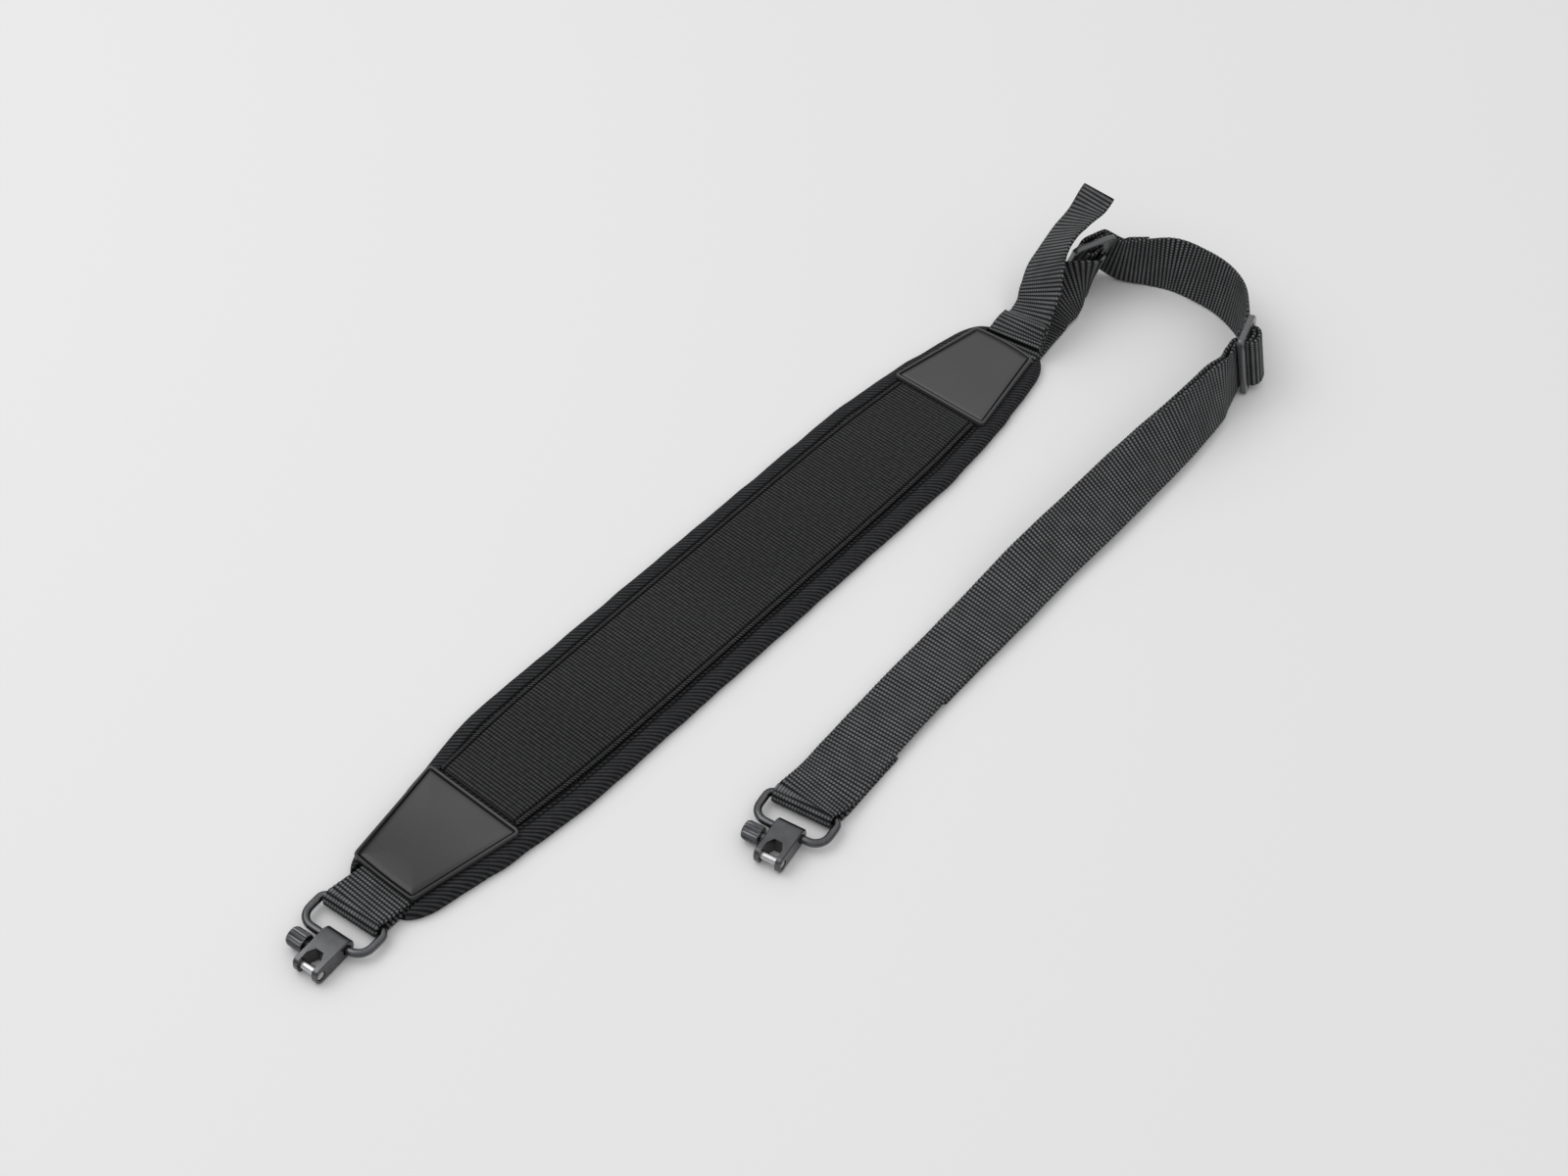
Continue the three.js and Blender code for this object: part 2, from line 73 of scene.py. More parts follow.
# The pad's left edge is drawn in near its front end, growing between two places along it
FRONT_TUCK, TUCK_FROM, TUCK_TO = 3.6, 105, 155
BORDER_FROM, WRINKLE = 23, 0.1
WIRE_D, AXIS_Z, FOLD_CLEAR, FOLD_STEPS = 3.2, 4, 0.55, 8
SLIDER_L, SLIDER_W, SLIDER_T, SLIDER_BAR, SLIDER_SLOT_L = 31, 18, 2.8, 3.2, 27
SLIDER_CORNER, SLIDER_EDGE = 2.2, 0.7
TAB_Y = -1.9
KEEPER_X = (183, 193.5)
STUB_LAYER, STUB_DROP = 1.9, 0.4
SLOT_SHIFT = 0.3
# The second layer leaves the long run's underside from near to far between two places along it
UNDER_START, UNDER_SPREAD = 13, (150, 205)
UNDER_NEAR, UNDER_FAR = WEB_T + 1.6 * GAP, 3.4
# Length of a step along a route and the most steps in one of its stretches, rough and fine
ROUTE_STEP, ROUTE_MOST = 2.6, 6
FINE_STEP, FINE_MOST = 0.4, 400

# x, y of the rear bar and the heading of each swivel
SWIVELS = {"front": (-PAD_HALF_L - 8.6, TAB_Y, 185), "long": (-58.2, -90.3, 190)}
# Middle of each slider, heading of its plate and direction of its bars
BUCKLE = {"at": (233.5, 0.5, 15.3), "heading": -20, "lean": (-0.12, -0.36, 0.92)}
LADDER = {"at": (230, -86.2, 16.1), "heading": 16, "lean": (-0.136, 0.125, 0.983)}

# Share of the half length, share of the half width
PAD_OUTLINE = [
    (0, 1), (0.3, 1), (0.57, 0.997), (0.62, 0.967), (0.676, 0.941), (0.73, 0.902), (0.784, 0.869),
    (0.822, 0.82), (0.865, 0.775), (0.908, 0.731), (0.946, 0.68), (0.973, 0.61), (0.989, 0.525), (1, 0.41),
]
# Inset from the pad's edge, height as a share of its thickness
PAD_SECTION = [
    (1.3, 0), (0.35, 0.1), (0, 0.3), (0.05, 0.5), (0.5, 0.72), (1.3, 0.87), (2.4, 0.96), (3.8, 1), (5.4, 0.99),
    (6.8, 0.95), (7.4, 0.86), (8.0, 0.94), (9.5, 1),
]
# Share of the half length, share of the half width
PANEL_ROWS = [(-1, 0.88), (-0.75, 0.97), (-0.4, 1), (0, 1), (0.4, 1), (0.75, 0.97), (1, 0.88)]
# Place across the panel from its edge inwards, height as a share of its thickness
PANEL_SECTION = [
    (0, 0), (0, 0.35), (0.35, 0.72), (0.95, 0.86), (1.6, 0.72), (1.95, 0.45), (2.3, 0.7), (2.9, 0.92), (4.5, 1),
    (9, 1), (16, 1),
]
# Inset from the webbing's edge, height as a share of its half thickness
WEB_SECTION = [(0, 0), (0.12, 0.55), (0.45, 0.9), (1.0, 1), (4.0, 1), (8.5, 1), (12.5, 1)]
# Inset from the patch's outline, height above its underside, whether it lies in the pressed line
PATCH_STEPS = [
    (0.0, 0.0, 0), (0.0, 1.3, 0), (0.15, 1.7, 0), (0.4, 1.92, 0), (0.9, 1.92, 0), (1.15, 1.75, 0), (1.25, 1.2, 1),
    (1.6, 0.9, 1), (1.95, 1.3, 1), (2.1, 1.45, 0), (4.0, 1.57, 0), (7.0, 1.75, 0), (11.0, 1.88, 0),
]

# x, y, z of the middle, roll about the run in degrees
LONG_ROUTE = [
    (-46, -90.6, 5, 4), (-30, -89, 3.9, 2), (-12, -87.4, 3.1, 0), (13, -86.1, 3.15, 0), (30, -85.7, 3.4, 0),
    (60, -85.7, 5.2, 7), (90, -86.1, 8, 24), (120, -86.7, 9.2, 28), (150, -87.6, 11.2, 40),
    (180, -89.4, 13.8, 58), (205, -89.2, 14.6, 70),
]
LONG_END = [(-19, -88.6, 0.95, 0), (-36, -89.6, 0.95, 0), (-50, -90.6, 0.95, 0)]
ARC_ROUTE = [
    (246.5, -9.5, 13.6, 100), (252.7, -18.8, 13.3, 89), (259.1, -29.9, 13.6, 77), (261.1, -42.6, 13, 77),
    (260, -53.5, 13.1, 79), (255.8, -63.8, 13.3, 84), (248.6, -72.8, 14.2, 92),
]
TAIL_ROUTE = [
    (171, -2.2, 4, 0), (181, -2, 4.2, -1), (187, -1.4, 6, -8), (192, -1.2, 9.4, -23),
    (196.8, -0.8, 12.6, -37), (202, 0.5, 16.2, -45), (207.5, 3.1, 20.4, -48), (214.9, 6.2, 24.8, -47),
    (223.7, 7.5, 28.5, -45), (232.6, 7.6, 31.5, -39), (241.4, 6.4, 35.4, -35.3), (248.8, 5.5, 41.6, -34.7),
]
REAR_ROUTE = [
    (168, -2.2, 1.7, 0), (184, -1.8, 1.7, 0), (196, -0.2, 1.4, 0), (204, 0.8, 2, 5), (210.5, 0.9, 5.6, 24),
    (217, -1.4, 10.2, 54), (224, -5.2, 12.9, 86), (230.5, -7.6, 13.6, 110),
]
# Place along the tab beyond the pad's end, height of its middle
TAB_LOW = [(1 - NOTCH_L, 1.9), (-11, 1.9), (-4, 1.9), (2, 1.55)]
TAB_TOP = [(2.5, 6), (-4, 4.7), (-11, 4.2), (1 - NOTCH_L, 4.2)]
# Along the slider's plate, out of the plate
REAR_THREAD = [(2.9, 5.3), (4.3, 2.8), (4.65, 0.9)]
ARC_STUB_THREAD = [
    (10, -5.1), (7.4, -5.1), (4.6, -4.9), (0, -4.6), (-2.2, -3.6), (-2.8, -1.5), (-2.75, 0.6), (-2.35, 2.45),
    (0, 3.05), (2.35, 2.45), (2.75, 0.6), (3.1, -1.5), (4.7, -2.85), (7.4, -3.05), (10, -3.1),
]
LONG_THREAD = [
    (-16, -2.9), (-10, -2.75), (-7.4, -2.75), (-5.1, -2.4), (-4.6, -0.2), (-4.5, 3), (-2.6, 4.9), (0, 5.3),
    (2.6, 4.9), (4.5, 3), (4.6, -0.2), (5.1, -2.4), (7.4, -2.75), (10.5, -2.75),
]
UNDER_THREAD = [
    (-16, -6), (-10, -5.3), (-7.4, -4.75), (-5.2, -4.5), (-3.4, -3.3), (-2.75, -1.2), (-2.75, 0.7), (-2.35, 2.45),
    (0, 2.95), (2.35, 2.45), (2.75, 0.7), (2.75, -1.2), (2.2, -2.8), (0, -3.2),
]

CAMERA_AT = (-458.3, -422.7, 711.6)
CAMERA_AHEAD = (0.5026, 0.4298, -0.7501)
LENS, SENSOR = 56.25, 36

# Stage, in metres: half the floor's side, the lamp, and the sky's two stops as height and colour
FLOOR_HALF = 4.0
LAMP_AT, LAMP_AHEAD, LAMP_SIZE = (-0.35, 0.75, 1.3), (0.25, -0.5, -1), (1.2, 0.9)
SKY_STOPS = ((0.12, (0.16, 0.16, 0.165, 1)), (0.62, (1, 1, 1, 1)))

# Bands of the looks, in metres: across the border and the panel, along the pad where painted shade darkens the front
# patch's end, and at a cut end
BORDER_SEAMS, SEAM_SOFT = ((0.0062, 0.0074), (0.0079, 0.0091)), 0.0004
PANEL_GROOVE, GROOVE_SOFT = (0.01985, 0.02105), 0.00045
PANEL_CORD, PANEL_SEAM = (0.0205, 0.0209), (0.0222, 0.02238)
FRONT_PAINTED_SHADE = (-0.155, -0.195)
SEALED_END, SEALED_GREY = (0.0003, 0.0011), (0.16, 0.16, 0.16)
SEAM_BLACK = (0.001, 0.001, 0.001)
BEAD_SHARE = 0.72


# ---- settings ----
class PadSettings(bpy.types.PropertyGroup):
    cloth: FloatVectorProperty(
        name="Border cloth", description="Colour of the pad's twill", subtype="COLOR",
        default=(0.019, 0.0195, 0.021),
    )
    twill: FloatProperty(
        name="Twill pitch", description="Distance between two twill ribs", default=0.00155, unit="LENGTH"
    )
    panel: FloatVectorProperty(
        name="Panel cloth", description="Colour of the ribbed panel", subtype="COLOR",
        default=(0.0125, 0.0126, 0.013),
    )
    rib: FloatProperty(
        name="Rib pitch", description="Distance between two ribs of the panel", default=0.0015, unit="LENGTH"
    )
    leather: FloatVectorProperty(
        name="Patch leather", description="Colour of the patches", subtype="COLOR",
        default=(0.044, 0.0444, 0.0465),
    )


class StrapSettings(bpy.types.PropertyGroup):
    width: FloatProperty(name="Width", description="Width of the webbing", default=0.025, unit="LENGTH")
    pitch: FloatProperty(name="Weave pitch", description="Size of a cell of the weave", default=0.00175, unit="LENGTH")
    # Painted shade: the near-black colour painted in the ground between the raised threads
    ground: FloatVectorProperty(
        name="Ground", description="Colour between the threads", subtype="COLOR", default=(0.0045, 0.0047, 0.005)
    )
    # Painted highlight: the light grey painted on the raised threads
    thread: FloatVectorProperty(
        name="Thread", description="Colour of the raised threads", subtype="COLOR", default=(0.185, 0.189, 0.195)
    )


class HardwareSettings(bpy.types.PropertyGroup):
    steel: FloatVectorProperty(
        name="Dark steel", description="Colour of the swivels", subtype="COLOR", default=(0.1, 0.101, 0.105)
    )
    plastic: FloatVectorProperty(
        name="Plastic", description="Colour of the sliders", subtype="COLOR", default=(0.06, 0.062, 0.066)
    )
    edge: FloatProperty(name="Edge", description="Rounding of the swivels' edges", default=0.00025, unit="LENGTH")


class StageSettings(bpy.types.PropertyGroup):
    floor: FloatVectorProperty(
        name="Floor", description="Colour of the floor", subtype="COLOR", default=(0.802, 0.802, 0.802)
    )
    sky: FloatProperty(name="Sky", description="Strength of the light from above", default=0.95)
    lamp: FloatProperty(name="Lamp", description="Power of the large lamp", default=5.0, unit="POWER")


# ---- shader maths ----
class Amount:
    """A number that changes over a surface. Arithmetic on it adds Math nodes."""

    def __init__(self, finish, socket):
        self.finish = finish
        self.socket = socket

    def math(self, operation, *others):
        values = {i: v for i, v in enumerate((self, *others))}
        return self.finish.node("ShaderNodeMath", {"operation": operation}, values)

    def __add__(self, other):
        return self.math("ADD", other)

    __radd__ = __add__

    def __sub__(self, other):
        return self.math("SUBTRACT", other)

    def __rsub__(self, other):
        return self.finish.node("ShaderNodeMath", {"operation": "SUBTRACT"}, {0: other, 1: self})

    def __mul__(self, other):
        return self.math("MULTIPLY", other)

    __rmul__ = __mul__

    def __truediv__(self, other):
        return self.math("DIVIDE", other)

    def __rtruediv__(self, other):
        return self.finish.node("ShaderNodeMath", {"operation": "DIVIDE"}, {0: other, 1: self})

    def wave(self, pitch, shift=0.0):
        """1 in the middle of each pitch and 0 between two of them."""
        return (self / pitch + shift).math("MULTIPLY", 2 * math.pi).math("COSINE") * 0.5 + 0.5

    def within(self, low, high):
        """0 at low, 1 at high, and smooth between."""
        settings = {"interpolation_type": "SMOOTHSTEP"}
        return self.finish.node("ShaderNodeMapRange", settings, {"Value": self, "From Min": low, "From Max": high})

    def band(self, low, high, soft):
        """1 between low and high, falling to 0 over a soft width inside each."""
        return self.within(low, low + soft) * (1 - self.within(high - soft, high))


class Finish:
    """One material, made node by node."""

    def __init__(self, name):
        self.material = bpy.data.materials.new(name)
        self.material.use_nodes = True
        self.tree = self.material.node_tree
        self.shader = self.tree.nodes["Principled BSDF"]

    def node(self, kind, settings, values, output=0):
        made = self.tree.nodes.new(kind)
        for key, value in settings.items():
            setattr(made, key, value)
        for key, value in values.items():
            if isinstance(value, Amount):
                self.tree.links.new(value.socket, made.inputs[key])
            else:
                made.inputs[key].default_value = value
        return Amount(self, made.outputs[output])

    def place(self):
        """The place on the piece in metres."""
        return self.node("ShaderNodeTexCoord", {}, {}, "Object")

    def run(self):
        """The place on a bent grid in metres, whole and as its parts: across it, along it, and inwards from the
        pad's edge or from the end of webbing that shows its cut."""
        at = self.node("ShaderNodeAttribute", {"attribute_name": "run"}, {}, "Vector")
        return at, *self.parts(at)

    def parts(self, vector):
        split = self.node("ShaderNodeSeparateXYZ", {}, {0: vector})
        return [Amount(self, split.socket.node.outputs[k]) for k in range(3)]

    def noise(self, vector, scale, detail=2.0):
        return self.node("ShaderNodeTexNoise", {}, {"Vector": vector, "Scale": scale, "Detail": detail})

    def blend(self, share, low, high):
        values = {0: share, 6: low if isinstance(low, Amount) else (*low, 1)}
        values[7] = high if isinstance(high, Amount) else (*high, 1)
        return self.node("ShaderNodeMix", {"data_type": "RGBA"}, values, 2)

    def put(self, **sockets):
        for name, value in sockets.items():
            socket = self.shader.inputs[name.replace("_", " ")]
            if isinstance(value, Amount):
                self.tree.links.new(value.socket, socket)
            else:
                socket.default_value = value

    def relief(self, height, distance, strength=1.0):
        values = {"Height": height, "Distance": distance, "Strength": strength}
        self.put(Normal=self.node("ShaderNodeBump", {}, values))


def scaled(color, share):
    """A colour made darker or lighter."""
    return tuple(c * share for c in color)


def webbing():
    """Heavy woven webbing: rows of raised threads, each row half a cell aside of the last, with painted highlights on
    the threads and painted shade in the ground between them.
    """
    look = bpy.context.scene.sling_strap
    finish = Finish("webbing_look")
    at, across, along, end = finish.run()
    row = (along / look.pitch).math("FLOOR")
    rib = (along / look.pitch).math("FRACT")
    rib = (rib * (1 - rib)) * 4
    bead = (across / (look.pitch * BEAD_SHARE) + row * 0.5).wave(1.0)
    thread = rib * (bead * 0.42 + 0.58)
    worn = finish.noise(at, 160.0, 3.0)
    # Painted light: the raised threads get the painted highlight and the ground the painted shade, varied by a random
    # worn tone
    raised = (thread * 1.6 - 0.6).math("MAXIMUM", 0.0) * (worn * 0.9 + 0.45)
    color = finish.blend(raised.math("MINIMUM", 1.0), look.ground, look.thread)
    sealed = 1 - end.within(*SEALED_END)
    color = finish.blend(sealed * 0.75, color, SEALED_GREY)
    finish.put(Base_Color=color, Roughness=0.62, Specular_IOR_Level=0.16)
    finish.relief(thread, 0.00032)
    return finish.material


def twill_cloth():
    """Slanted ribs of a coarse twill, with two dark seam lines along the border, the rib tops carrying painted
    highlight and the hollows painted shade.
    """
    look = bpy.context.scene.sling_pad
    finish = Finish("twill_cloth_look")
    at = finish.place()
    x, y, z = finish.parts(at)
    wander = finish.noise(at, 60.0, 2.0)
    slant = x * 0.76 + y * 0.65 + z * 0.3 + wander * 0.0007
    rib = slant.wave(look.twill)
    cross = (x * 0.65 - y * 0.76).wave(0.0006)
    worn = finish.noise(at, 400.0, 2.0)
    height = rib * (cross * 0.25 + 0.75)
    inset = finish.run()[3]
    outer, inner = (inset.band(*seam, SEAM_SOFT) for seam in BORDER_SEAMS)
    # Painted light: rib tops lighter and hollows darker than the cloth, varied by a random worn tone
    color = finish.blend(height * (worn * 0.8 + 0.35), scaled(look.cloth, 0.15), scaled(look.cloth, 3.2))
    color = finish.blend((outer + inner) * 0.85, color, SEAM_BLACK)
    finish.put(Base_Color=color, Roughness=0.8, Specular_IOR_Level=0.16)
    finish.relief(height, 0.0003)
    return finish.material


def ribbed_cloth():
    """Fine square-ribbed elastic with a dark groove inside its corded edge."""
    look = bpy.context.scene.sling_pad
    finish = Finish("ribbed_cloth_look")
    at, across, along, _ = finish.run()
    long_rib = across.wave(look.rib * 0.8)
    cross_rib = along.wave(look.rib)
    worn = finish.noise(at, 500.0, 2.0)
    broad = finish.noise(at, 14.0, 2.0)
    grid = (long_rib * 0.5 + 0.5) * (cross_rib * 0.85 + 0.15)
    edge = across.math("ABSOLUTE")
    groove = edge.band(*PANEL_GROOVE, GROOVE_SOFT)
    seam = edge.within(*PANEL_SEAM)
    cord = edge.within(*PANEL_CORD)
    stitch = (along + across).wave(0.0013)
    height = finish.node("ShaderNodeMix", {"data_type": "FLOAT"}, {0: cord, 2: grid, 3: stitch})
    lit = height * (worn * 0.7 + 0.3) * (broad * 0.5 + 0.75)
    color = finish.blend(lit, scaled(look.panel, 0.1), scaled(look.panel, 8.0))
    color = finish.blend((groove + seam).math("MINIMUM", 1.0) * 0.85, color, SEAM_BLACK)
    finish.put(Base_Color=color, Roughness=0.85, Specular_IOR_Level=0.06)
    finish.relief(height, 0.00018)
    return finish.material


def soft_leather():
    """Smooth dark leather with a fine grain, darker in the pressed line inside its rim, and with painted shade at the
    front end.
    """
    look = bpy.context.scene.sling_pad
    finish = Finish("soft_leather_look")
    at = finish.place()
    x = finish.parts(at)[0]
    grain = finish.node("ShaderNodeTexVoronoi", {"feature": "F1"}, {"Vector": at, "Scale": 1500.0})
    soft = finish.noise(at, 900.0, 3.0)
    cloudy = finish.noise(at, 28.0, 1.0)
    groove = finish.node("ShaderNodeAttribute", {"attribute_name": "groove"}, {}, "Fac")
    color = finish.blend(cloudy, scaled(look.leather, 0.7), scaled(look.leather, 1.3))
    # Painted shade: the front patch fades towards black at its front end
    color = finish.blend(x.within(*FRONT_PAINTED_SHADE) * 0.8, color, (0.0, 0.0, 0.0))
    color = finish.blend(groove.math("MINIMUM", 1.0), color, SEAM_BLACK)
    finish.put(Base_Color=color, Roughness=cloudy * 0.1 + 0.3)
    finish.relief(grain * 0.5 + soft, 0.00003)
    return finish.material


def glossy_plastic():
    """Moulded plastic with a soft gloss and faint flow marks."""
    look = bpy.context.scene.sling_hardware
    finish = Finish("glossy_plastic_look")
    flow = finish.noise(finish.place(), 120.0, 3.0)
    finish.put(Base_Color=finish.blend(flow, scaled(look.plastic, 0.8), scaled(look.plastic, 1.25)))
    finish.put(Roughness=flow * 0.1 + 0.24, Coat_Weight=0.9, Coat_Roughness=0.12)
    finish.relief(flow, 0.00006)
    return finish.material


def dark_steel():
    """Blackened steel, rubbed a little lighter, with fine grinding marks."""
    look = bpy.context.scene.sling_hardware
    finish = Finish("dark_steel_look")
    at = finish.place()
    rubbed = finish.noise(at, 260.0, 4.0)
    fine = finish.noise(at, 2200.0, 2.0)
    color = finish.blend(rubbed, scaled(look.steel, 0.7), scaled(look.steel, 1.35))
    finish.put(Base_Color=color, Metallic=0.95, Roughness=rubbed * 0.14 + 0.14)
    finish.relief(fine, 0.00003)
    return finish.material


def bright_steel():
    """Plain steel, turned."""
    finish = Finish("bright_steel_look")
    rubbed = finish.noise(finish.place(), 500.0, 3.0)
    finish.put(Base_Color=finish.blend(rubbed, (0.42, 0.42, 0.43), (0.66, 0.66, 0.66)), Metallic=1.0)
    finish.put(Roughness=rubbed * 0.15 + 0.2)
    finish.relief(rubbed, 0.00003)
    return finish.material


def finish_named(name):
    """The look of a slot, made when it is first asked for."""
    made = bpy.data.materials.get(name + "_look")
    makers = {
        "webbing": webbing, "twill_cloth": twill_cloth, "ribbed_cloth": ribbed_cloth, "soft_leather": soft_leather,
        "glossy_plastic": glossy_plastic, "dark_steel": dark_steel, "bright_steel": bright_steel,
    }
    return made or makers[name]()


# ---- strips ----
def curve_point(points, u, centred):
    """A point on the smooth curve through the points, at a share of its stretches. A centred curve allows for
    stretches of unlike length, so that it doesn't swing out beside a short one."""
    last = len(points) - 1
    place = u * last
    i = min(int(place), last - 1)
    w = place - i
    p1, p2 = points[i], points[i + 1]
    p0 = points[i - 1] if i > 0 else 2 * points[0] - points[1]
    p3 = points[i + 2] if i + 2 <= last else 2 * points[last] - points[last - 1]
    if centred:
        d1 = (p2 - p1).length ** 0.5
        d1 = d1 if d1 > 1e-4 else 1.0
        d0 = (p1 - p0).length ** 0.5
        d0 = d0 if d0 > 1e-4 else d1
        d2 = (p3 - p2).length ** 0.5
        d2 = d2 if d2 > 1e-4 else d1
        t1 = ((p1 - p0) / d0 - (p2 - p0) / (d0 + d1) + (p2 - p1) / d1) * d1
        t2 = ((p2 - p1) / d1 - (p3 - p1) / (d1 + d2) + (p3 - p2) / d2) * d1
    else:
        t1 = (p2 - p0) / 2
        t2 = (p3 - p1) / 2
    c2 = -3 * p1 + 3 * p2 - 2 * t1 - t2
    c3 = 2 * p1 - 2 * p2 + t1 + t2
    return p1 + t1 * w + c2 * w * w + c3 * w**3


def route_stations(rows):
    """Middle, edge direction and width share at each row of a route."""
    stations = []
    for i, row in enumerate(rows):
        before, after = rows[max(0, i - 1)], rows[min(len(rows) - 1, i + 1)]
        run = Vector((after[0] - before[0], after[1] - before[1], 0)).normalized()
        roll = math.radians(row[3])
        edge = Vector((-run.y, run.x, 0)) * math.cos(roll) + Vector((0, 0, math.sin(roll)))
        stations.append((Vector(row[:3]), edge, 1.0))
    return stations


def plate_frame(plate):
    """Middle of a slider, the direction of its bars, along its plate and out of it."""
    bar = Vector(plate["lean"]).normalized()
    turn = math.radians(plate["heading"])
    along = Vector((math.cos(turn), math.sin(turn), 0))
    along = (along - bar * along.dot(bar)).normalized()
    return Vector(plate["at"]), bar, along, along.cross(bar)


def thread_stations(plate, rows):
    """Stations where webbing passes through a slider, a little below the middle of its slots."""
    at, bar, along, out = plate_frame(plate)
    return [(at + along * e + out * n - bar * SLOT_SHIFT, bar.copy(), 1.0) for e, n in rows]


def fold_stations(swivel):
    """Stations of the half turn round a swivel's rear bar, from below to above."""
    x, y, heading = SWIVELS[swivel]
    turn = math.radians(heading)
    ahead = Vector((math.cos(turn), math.sin(turn), 0))
    edge = Vector((ahead.y, -ahead.x, 0))
    reach = WIRE_D / 2 + FOLD_CLEAR + WEB_T / 2
    stations = []
    for step in range(FOLD_STEPS + 1):
        a = math.radians(-90 + 180 * step / FOLD_STEPS)
        at = Vector((x, y, AXIS_Z + reach * math.sin(a))) + ahead * reach * math.cos(a)
        stations.append((at, edge.copy(), FOLD_W))
    return stations


def flow(stations, spacing=ROUTE_STEP, most=ROUTE_MOST):
    """Middle, edge direction, face direction and width share along a strip."""
    points = [s[0] for s in stations]
    edges = [s[1] for s in stations]
    last = len(stations) - 1
    run = []
    for i in range(last + 1):
        after = min(i + 1, last)
        length = (points[i] - points[after]).length
        steps = 1 if i == last else max(1, min(most, round(length / spacing)))
        for k in range(steps):
            share = k / steps
            u = (i + share) / last
            low, high = max(u - 1e-4, 0), min(u + 1e-4, 1)
            ahead = (curve_point(points, high, True) - curve_point(points, low, True)).normalized()
            edge = curve_point(edges, u, False)
            edge = (edge - ahead * edge.dot(ahead)).normalized()
            wide = stations[i][2] + (stations[after][2] - stations[i][2]) * share
            run.append((curve_point(points, u, True), edge, ahead.cross(edge).normalized(), wide))
    return run


def fine(stations):
    """The run in steps short enough to be seen close up."""
    return flow(stations, FINE_STEP, FINE_MOST)


def layer(run, distance):
    """A run moved out of its own face, by a distance that may change along it."""
    return [(p + face * distance(p), edge, face, wide) for p, edge, face, wide in run]


def run_length(run):
    """Length along the middle of a run."""
    return sum((b[0] - a[0]).length for a, b in zip(run, run[1:]))


def bent_grid(name, rings, rows, slot_name):
    """A tube bent from a flat grid: one ring of places a row, welded along its seam and closed at its ends."""
    bm = bmesh.new()
    mark = bm.verts.layers.float_vector.new("run")
    count, last = len(rings[0]), len(rings) - 1
    bmesh.ops.create_grid(bm, x_segments=count, y_segments=last, size=1.0)
    for vert in bm.verts:
        i = round((vert.co.x + 1) / 2 * count)
        j = round((vert.co.y + 1) / 2 * last)
        vert[mark] = Vector(rows[j][i % count]) * MM
        vert.co = Vector(rings[j][i % count]) * MM + MIDDLE
    bmesh.ops.remove_doubles(bm, verts=bm.verts[:], dist=1e-7)
    bmesh.ops.holes_fill(bm, edges=[e for e in bm.edges if e.is_boundary], sides=0)
    bmesh.ops.recalc_face_normals(bm, faces=bm.faces[:])
    return finished(bm, name, slot_name)


def placed(name, data):
    """An object in the scene."""
    thing = bpy.data.objects.new(name, data)
    bpy.context.scene.collection.objects.link(thing)
    return thing


def mesh_from(bm, name):
    """A mesh from a bmesh, which is then freed."""
    mesh = bpy.data.meshes.new(name)
    bm.to_mesh(mesh)
    bm.free()
    return mesh


def finished(bm, name, slot_name, sharp=40):
    """A piece from a bmesh, smooth but for its sharp edges, with its finish."""
    for face in bm.faces:
        face.smooth = True
    for edge in bm.edges:
        edge.smooth = len(edge.link_faces) != 2 or edge.calc_face_angle(0) < math.radians(sharp)
    piece = placed(name, mesh_from(bm, name))
    piece.data.materials.append(finish_named(slot_name))
    return piece


def strip(name, run, cut_shows):
    """Webbing along a run, with the small bumps that the cross threads leave along its edges."""
    width = bpy.context.scene.sling_strap.width / MM
    pitch = bpy.context.scene.sling_strap.pitch / MM
    bump_height, wander_height, wander_length, drawn_in, edge_zone = 0.14, 0.05, 3.1, 0.1, 0.8
    length = run_length(run)
    upper = [(width / 2 - inset, rise) for inset, rise in WEB_SECTION]
    side = upper + [(-y, rise) for y, rise in upper[-2::-1]]
    section = side + [(y, -rise) for y, rise in side[-2:0:-1]]
    rings, rows, gone = [], [], 0.0
    for k, (point, edge, face, wide) in enumerate(run):
        if k:
            gone += (point - run[k - 1][0]).length
        bump = bump_height * math.cos(2 * math.pi * gone / pitch) + wander_height * math.sin(gone / wander_length)
        ring, row = [], []
        for y, rise in section:
            reach = y * wide + math.copysign(bump - drawn_in, y) * (abs(y) > width / 2 - edge_zone)
            ring.append(point + edge * reach + face * rise * WEB_T / 2)
            row.append((y, gone, length - gone if cut_shows else length))
        rings.append(ring)
        rows.append(row)
    return bent_grid(name, rings, rows, "webbing"), length


def webbing_piece(name, node, run, cut_shows=False):
    """A strip that stands for a node, hung on the sling's body while the node is hidden."""
    piece, length = strip(name, run, cut_shows)
    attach(piece, "sling")
    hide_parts(node)


def tab_run():
    """The front tab: in under the patch, round the wire and back."""
    across = Vector((0, 1, 0))
    low, top = (
        [(Vector((-PAD_HALF_L - beyond, TAB_Y, z)), across, FOLD_W) for beyond, z in rows]
        for rows in (TAB_LOW, TAB_TOP)
    )
    return fine([*low, *fold_stations("front"), *top])


def main_run():
    """The long run: its folded end, round the wire, through both sliders, and its stub under the bend's start."""
    arc = route_stations(ARC_ROUTE)
    stub = layer(flow(arc[:2]), lambda p: -STUB_LAYER)[::2]
    return fine([
        *[(p, -edge, wide) for p, edge, wide in route_stations(LONG_END)],
        *fold_stations("long"),
        *route_stations(LONG_ROUTE),
        *thread_stations(LADDER, LONG_THREAD),
        *reversed(arc),
        *thread_stations(BUCKLE, ARC_STUB_THREAD[::-1]),
        *[(p - Vector((0, 0, STUB_DROP)), edge, wide) for p, edge, face, wide in stub],
    ])


